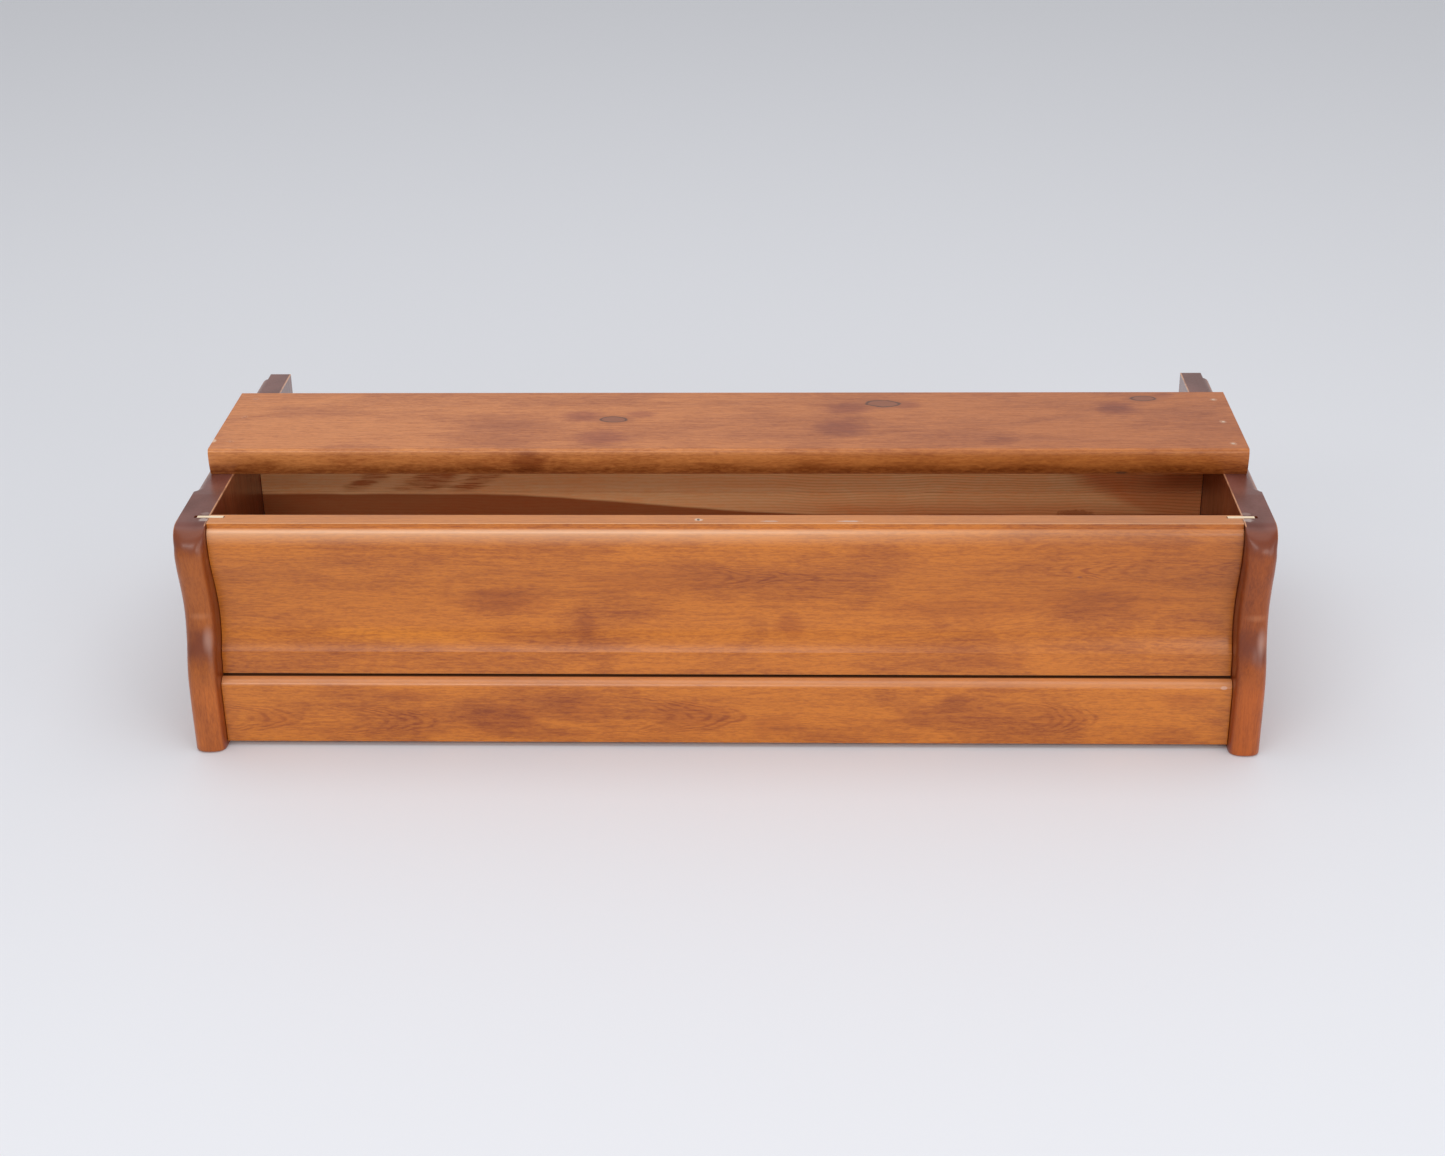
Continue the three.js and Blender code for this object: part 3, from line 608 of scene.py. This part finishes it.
def rear_features():
    middle = point("rear_panel_top_stave")
    seam = point("rear_panel_top_stave", 0.5, 0.0, 0.0)

    def facing_front(n):
        """1 on the face that looks to the front, so the marks stay off the back."""
        return n.range(n.normal("Y"), -0.6, -0.4, 1.0, 0.0)

    def lines(n, colour):
        """Close, even year rings that fade in towards the right."""
        wave = n.noise(n.stretched((7, 7, 14)), 2.0)
        z = n.math("MULTIPLY_ADD", wave, 0.016, n.z)
        ring = n.range(n.math("SINE", n.product(z, 2 * math.pi / YEAR_RING)), 0.0, 1.0)
        where = n.range(n.x, middle.x - 0.10, middle.x + 0.16, 0.15, 0.6)
        return n.tinted(n.product(ring, where), colour, (0.72, 0.60, 0.48))

    def slanted_patches(n, colour):
        """Three feathered reddish strokes on the left, and a spot at the right."""
        z = n.math("SUBTRACT", n.z, seam.z + 0.00895)
        fray = n.noise(n.stretched((45, 10, 650)), 4.0, 0.6)
        feather = n.range(fray, 0.38, 0.60, 1.0, 0.35)
        for x, width in ((-0.350, 0.018), (-0.290, 0.032), (-0.245, 0.020)):
            lean = n.math("SUBTRACT", n.math("SUBTRACT", n.x, middle.x + x), n.product(z, 1.6))
            away = n.swayed(n.math("DIVIDE", n.math("ABSOLUTE", lean), width), fray, 0.6)
            stroke = n.product(n.range(away, 0.25, 1.0, 0.9, 0.0), n.range(z, -0.010, -0.005))
            mask = n.product(stroke, feather, facing_front(n))
            colour = n.tinted(mask, colour, (0.54, 0.27, 0.15))
        spot = seam + Vector((0.3315, 0, -0.02255))
        return scratch(n, colour, spot, (0.022, 0.02, 0.0045), (0.46, 0.15, 0.05), 0.6)

    # Drawn darker and redder below a wavy edge; the cause of the darkening is not known.
    def dark_lower_band(n, colour):
        """A darker, redder band whose upper edge runs level and then falls to the right."""
        fall = n.range(n.x, middle.x - 0.26, middle.x + 0.12, 0.0, 0.022)
        wave = n.noise(n.stretched((9, 9, 9)), 2.0)
        level = n.math("SUBTRACT", n.math("MULTIPLY_ADD", wave, 0.005, seam.z - 0.0045), fall)
        below = n.range(n.math("SUBTRACT", n.z, level), -0.0015, 0.0015, 1.0, 0.0)
        return n.tinted(n.product(below, facing_front(n)), colour, (0.40, 0.22, 0.15))

    def shade(n, colour):
        """Darker towards the middle stave on the right, and in the far right corner."""
        low_down = n.range(n.z, seam.z - 0.02805, seam.z + 0.00395, 0.75, 0.0)
        rise = n.math("SUBTRACT", n.z, seam.z - 0.00605)
        corner = n.math("MULTIPLY_ADD", rise, 1.6, n.x)
        corner = n.range(corner, middle.x + 0.345, middle.x + 0.385, 0.0, 0.85)
        right = n.range(n.x, middle.x - 0.1, middle.x + 0.2)
        mask = n.product(n.math("MAXIMUM", low_down, corner), right, facing_front(n))
        return n.tinted(mask, colour, (0.72, 0.41, 0.28))

    return lines, slanted_patches, dark_lower_band, shade


# ---- materials -------------------------------------------------------------------------------

HONEY = (0.62, 0.185, 0.014)
HONEY_DARK = (0.31, 0.066, 0.006)


def fastener_steel():
    n = Nodes("fastener_steel")
    speck = n.noise(n.stretched((900, 900, 900)))
    n.shader.inputs["Metallic"].default_value = 0.9
    return n.finish(n.mix(speck, (0.7, 0.68, 0.62), (0.5, 0.46, 0.4)), 0.4, speck, 0.1, 0.0003)


def nail_heads(name, light, dark):
    """Small heads under a skin of filler."""
    n = Nodes(name)
    speck = n.noise(n.stretched((700, 700, 700)))
    return n.finish(n.mix(speck, light, dark), 0.5, speck, 0.1, 0.0003)


def make_materials():
    pale = dict(roughness=0.6, coat=0.0)
    return {
        "front_panel": wood(
            "front_panel_wood", HONEY, HONEY_DARK, "X", 1.0, front_panel_features(),
        ),
        "lower_front_board": wood(
            "lower_board_wood", HONEY, HONEY_DARK, "X", 2.0, lower_board_features(), clouds=0.5,
        ),
        "top_board": wood(
            "top_board_wood", (0.61, 0.205, 0.050), (0.33, 0.080, 0.016), "X", 3.0,
            top_board_features(), coat=0.5, streaks=0.3,
        ),
        "stile": wood(
            "stile_wood", (0.40, 0.104, 0.014), (0.19, 0.040, 0.007), "Z", 4.0,
            stile_features(), streaks=0.3, flecks=0.2, coat=0.45,
        ),
        "side": wood(
            "side_wood", (0.37, 0.096, 0.016), (0.18, 0.040, 0.008), "Z", 8.0,
            side_features(), streaks=0.5,
        ),
        "pine": wood(
            "raw_pine", (1.0, 0.60, 0.30), (1.0, 0.47, 0.19), "X", 5.0, rear_features(), **pale,
        ),
        "batten": wood("batten_pine", (0.80, 0.50, 0.25), (0.60, 0.33, 0.15), "X", 9.0, **pale),
        "ply": wood("birch_plywood", (0.62, 0.42, 0.23), (0.50, 0.32, 0.16), "X", 6.0, **pale),
        "beech": wood("beech_biscuit", (0.92, 0.76, 0.56), (0.80, 0.62, 0.42), "X", 7.0, **pale),
        "steel": fastener_steel(),
        "pale_nail": nail_heads("pale_nail_heads", (0.78, 0.56, 0.42), (0.55, 0.36, 0.25)),
        "stained_nail": nail_heads("stained_nail_heads", (0.62, 0.27, 0.14), (0.46, 0.17, 0.08)),
    }


def finish_of(name):
    """The material and the record's slot of a CAD node."""
    if name == "top_board":
        return name, "stained_top_board"
    if name in ("front_panel", "lower_front_board"):
        return name, "stained_board"
    if name.endswith("front_stile"):
        return "stile", "stained_side"
    if name.endswith("side_panel"):
        return "side", "stained_side"
    if name.endswith("stave"):
        return "pine", "raw_pine"
    if name.endswith("_batten"):
        return "batten", "raw_pine"
    if "biscuit" in name:
        return "beech", "beech_biscuit"
    if "nail" in name:
        return "stained_nail" if "left" in name else "pale_nail", "fastener_steel"
    if "screw" in name:
        return "steel", "fastener_steel"
    return "ply", "birch_plywood"


# ---- pieces ----------------------------------------------------------------------------------

# Vertices closer than this are merged, in metres, and faces that bend less than this, in degrees.
WELD = 2e-6
FLAT_BEND = 0.3

# Edges that bend more than this, in degrees, are sanded to this width, in metres.
SHARP_BEND = 33
EASE = 0.0004

# The front panel's creases show as lines from this bend on, in degrees.
MOULDING_BEND = 9

# The boards, by the ends of their names.
EASED_ENDINGS = (
    "_board", "front_panel", "_stile", "_side_panel", "_stave", "_batten", "bottom_panel",
)


def eased_board(name, material, crease):
    """A board that replaces its CAD node, with sanded edges and smooth curves.

    Bends from crease up to SHARP_BEND, in degrees, stay crisp without being sanded.
    """
    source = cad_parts[name]
    mesh = source.data.copy()
    mesh.transform(source.matrix_world)
    shape = bmesh.new()
    shape.from_mesh(mesh)
    bmesh.ops.remove_doubles(shape, verts=shape.verts, dist=WELD)
    bmesh.ops.dissolve_limit(
        shape, angle_limit=math.radians(FLAT_BEND), verts=shape.verts, edges=shape.edges,
    )
    sharp = [edge for edge in shape.edges if edge.calc_face_angle(0) > math.radians(SHARP_BEND)]
    for edge in shape.edges:
        edge.smooth = edge.calc_face_angle(0) < math.radians(crease) or edge in sharp
    bmesh.ops.bevel(
        shape, geom=sharp, offset=EASE, segments=2, profile=0.5, affect="EDGES", clamp_overlap=True,
    )
    for face in shape.faces:
        face.smooth = True
    shape.to_mesh(mesh)
    shape.free()
    mesh.materials.clear()
    mesh.materials.append(material)
    board = bpy.data.objects.new(name + "_eased", mesh)
    bpy.context.scene.collection.objects.link(board)
    normals = board.modifiers.new("normals", "WEIGHTED_NORMAL")
    normals.keep_sharp = True
    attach(board, "root")
    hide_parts(name)


def dress(materials):
    """Boards get an eased copy; biscuits, nails and screws are their CAD nodes with a material."""
    for name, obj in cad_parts.items():
        key, slot = finish_of(name)
        if name.endswith(EASED_ENDINGS):
            crease = MOULDING_BEND if name == "front_panel" else SHARP_BEND
            eased_board(name, materials[key], crease)
        else:
            obj.data.materials.clear()
            obj.data.materials.append(materials[key])


# ---- studio ----------------------------------------------------------------------------------


def make_floor():
    mesh = bpy.data.meshes.new("floor")
    shape = bmesh.new()
    bmesh.ops.create_grid(shape, x_segments=1, y_segments=1, size=8.0)
    shape.to_mesh(mesh)
    shape.free()
    obj = bpy.data.objects.new("floor", mesh)
    bpy.context.scene.collection.objects.link(obj)
    n = Nodes("floor_paint")
    n.put((0.79, 0.80, 0.84), n.shader.inputs["Base Color"])
    n.shader.inputs["Roughness"].default_value = 0.6
    mesh.materials.append(n.material)


def make_world():
    """An even, slightly cool light from all sides."""
    world = bpy.data.worlds.new("studio")
    bpy.context.scene.world = world
    world.use_nodes = True
    background = world.node_tree.nodes["Background"]
    background.inputs["Color"].default_value = (0.97, 0.98, 1.0, 1)
    background.inputs["Strength"].default_value = 0.55


def area_light(name, place, target, size, watts):
    """A soft rectangular light at place that faces target."""
    data = bpy.data.lights.new(name, "AREA")
    data.shape = "RECTANGLE"
    data.size, data.size_y = size
    data.energy = watts
    light = bpy.data.objects.new(name, data)
    bpy.context.scene.collection.objects.link(light)
    light.location = place
    light.rotation_euler = (Vector(target) - Vector(place)).to_track_quat("-Z", "Y").to_euler()


def make_studio():
    make_floor()
    make_world()
    area_light("window_right", (1.25, -2.3, 0.95), (0.1, 0, 0.1), size=(0.7, 0.5), watts=6)
    area_light("window_side", (2.35, -1.75, 0.62), (0.0, -0.2, 0.1), size=(1.7, 0.7), watts=10)
    area_light("window_strip", (-0.75, -2.25, 1.62), (-0.1, -0.2, 0.2), size=(2.0, 0.22), watts=14)
    area_light("ceiling", (0, -0.2, 3.4), (0, 0.2, 0), size=(4.0, 3.4), watts=48)
    bpy.context.scene.view_settings.view_transform = "Standard"


make_camera()
make_studio()
dress(make_materials())
